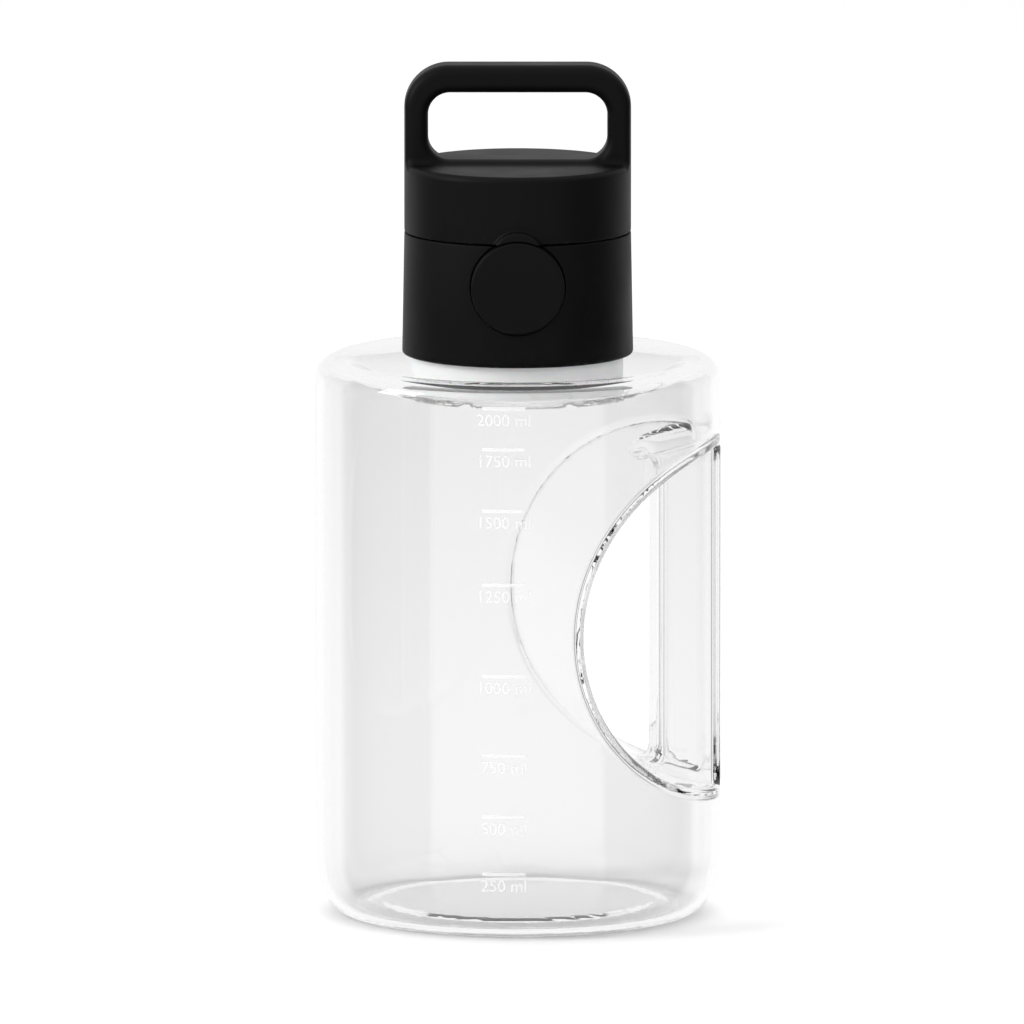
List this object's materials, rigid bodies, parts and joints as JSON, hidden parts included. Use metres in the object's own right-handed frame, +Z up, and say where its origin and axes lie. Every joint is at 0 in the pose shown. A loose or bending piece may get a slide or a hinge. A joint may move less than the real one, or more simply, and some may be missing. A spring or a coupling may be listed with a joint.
{
  "type": "water jug",
  "caption": "Tall clear water jug with a recessed side grip, and a black screw cap with a hinged push-button lid and a rigid carry loop.",
  "frame": {"origin": "centre of the jug's base, on the surface that it stands on", "axes": "+Z up along the jug's axis; -Y is the side with the push button, +Y the hinge; the side grip is near +X, 9.85 degrees round from it towards +Y"},
  "size_m": [0.136, 0.1362, 0.2867],
  "materials": {
    "clear_plastic": "clear, polished",
    "black_plastic": "satin, lightly grained",
    "white_plastic": "smooth moulded",
    "silicone": "translucent grey silicone, matte",
    "steel": "drawn stainless wire"
  },
  "bodies": {
    "jug": {"jug_body": "clear_plastic"},
    "gasket": {"neck_gasket": "silicone"},
    "cap": {"threaded_liner": "white_plastic", "collar": "black_plastic", "spout_deck": "black_plastic", "deck_seal": "silicone", "vent_valve": "silicone", "latch_spring_left": "steel", "latch_spring_right": "steel", "hinge_pin": "steel", "torsion_spring": "steel"},
    "latch": {"button_cap": "black_plastic", "latch_slide": "white_plastic"},
    "lid": {"lid_shell": "black_plastic", "lid_liner": "black_plastic", "spout_seal": "silicone"}
  },
  "joints": [
    {"name": "cap_lift", "type": "slide", "parent": "jug", "child": "gasket", "axis": [0, 0, 1], "range_m": [0, 0.0075]},
    {"name": "cap_turn", "type": "hinge", "parent": "gasket", "child": "cap", "pos_m": [0, 0, 0.19], "axis": [0, 0, 1], "range_deg": [0, 450]},
    {"name": "button_press", "type": "slide", "parent": "cap", "child": "latch", "axis": [0, 1, 0], "range_m": [0, 0.002], "stiffness_N_per_m": 900, "springref_m": -0.001, "deforming": ["latch_spring_left", "latch_spring_right"]},
    {"name": "lid_hinge", "type": "hinge", "parent": "cap", "child": "lid", "pos_m": [0, 0.03905, 0.2302], "axis": [-1, 0, 0], "range_deg": [0, 115], "deforming": ["torsion_spring"]}
  ],
  "couplings": [
    {"joint": "cap_lift", "follows": "cap_turn", "m_per_rad": 0.00095493}
  ]
}
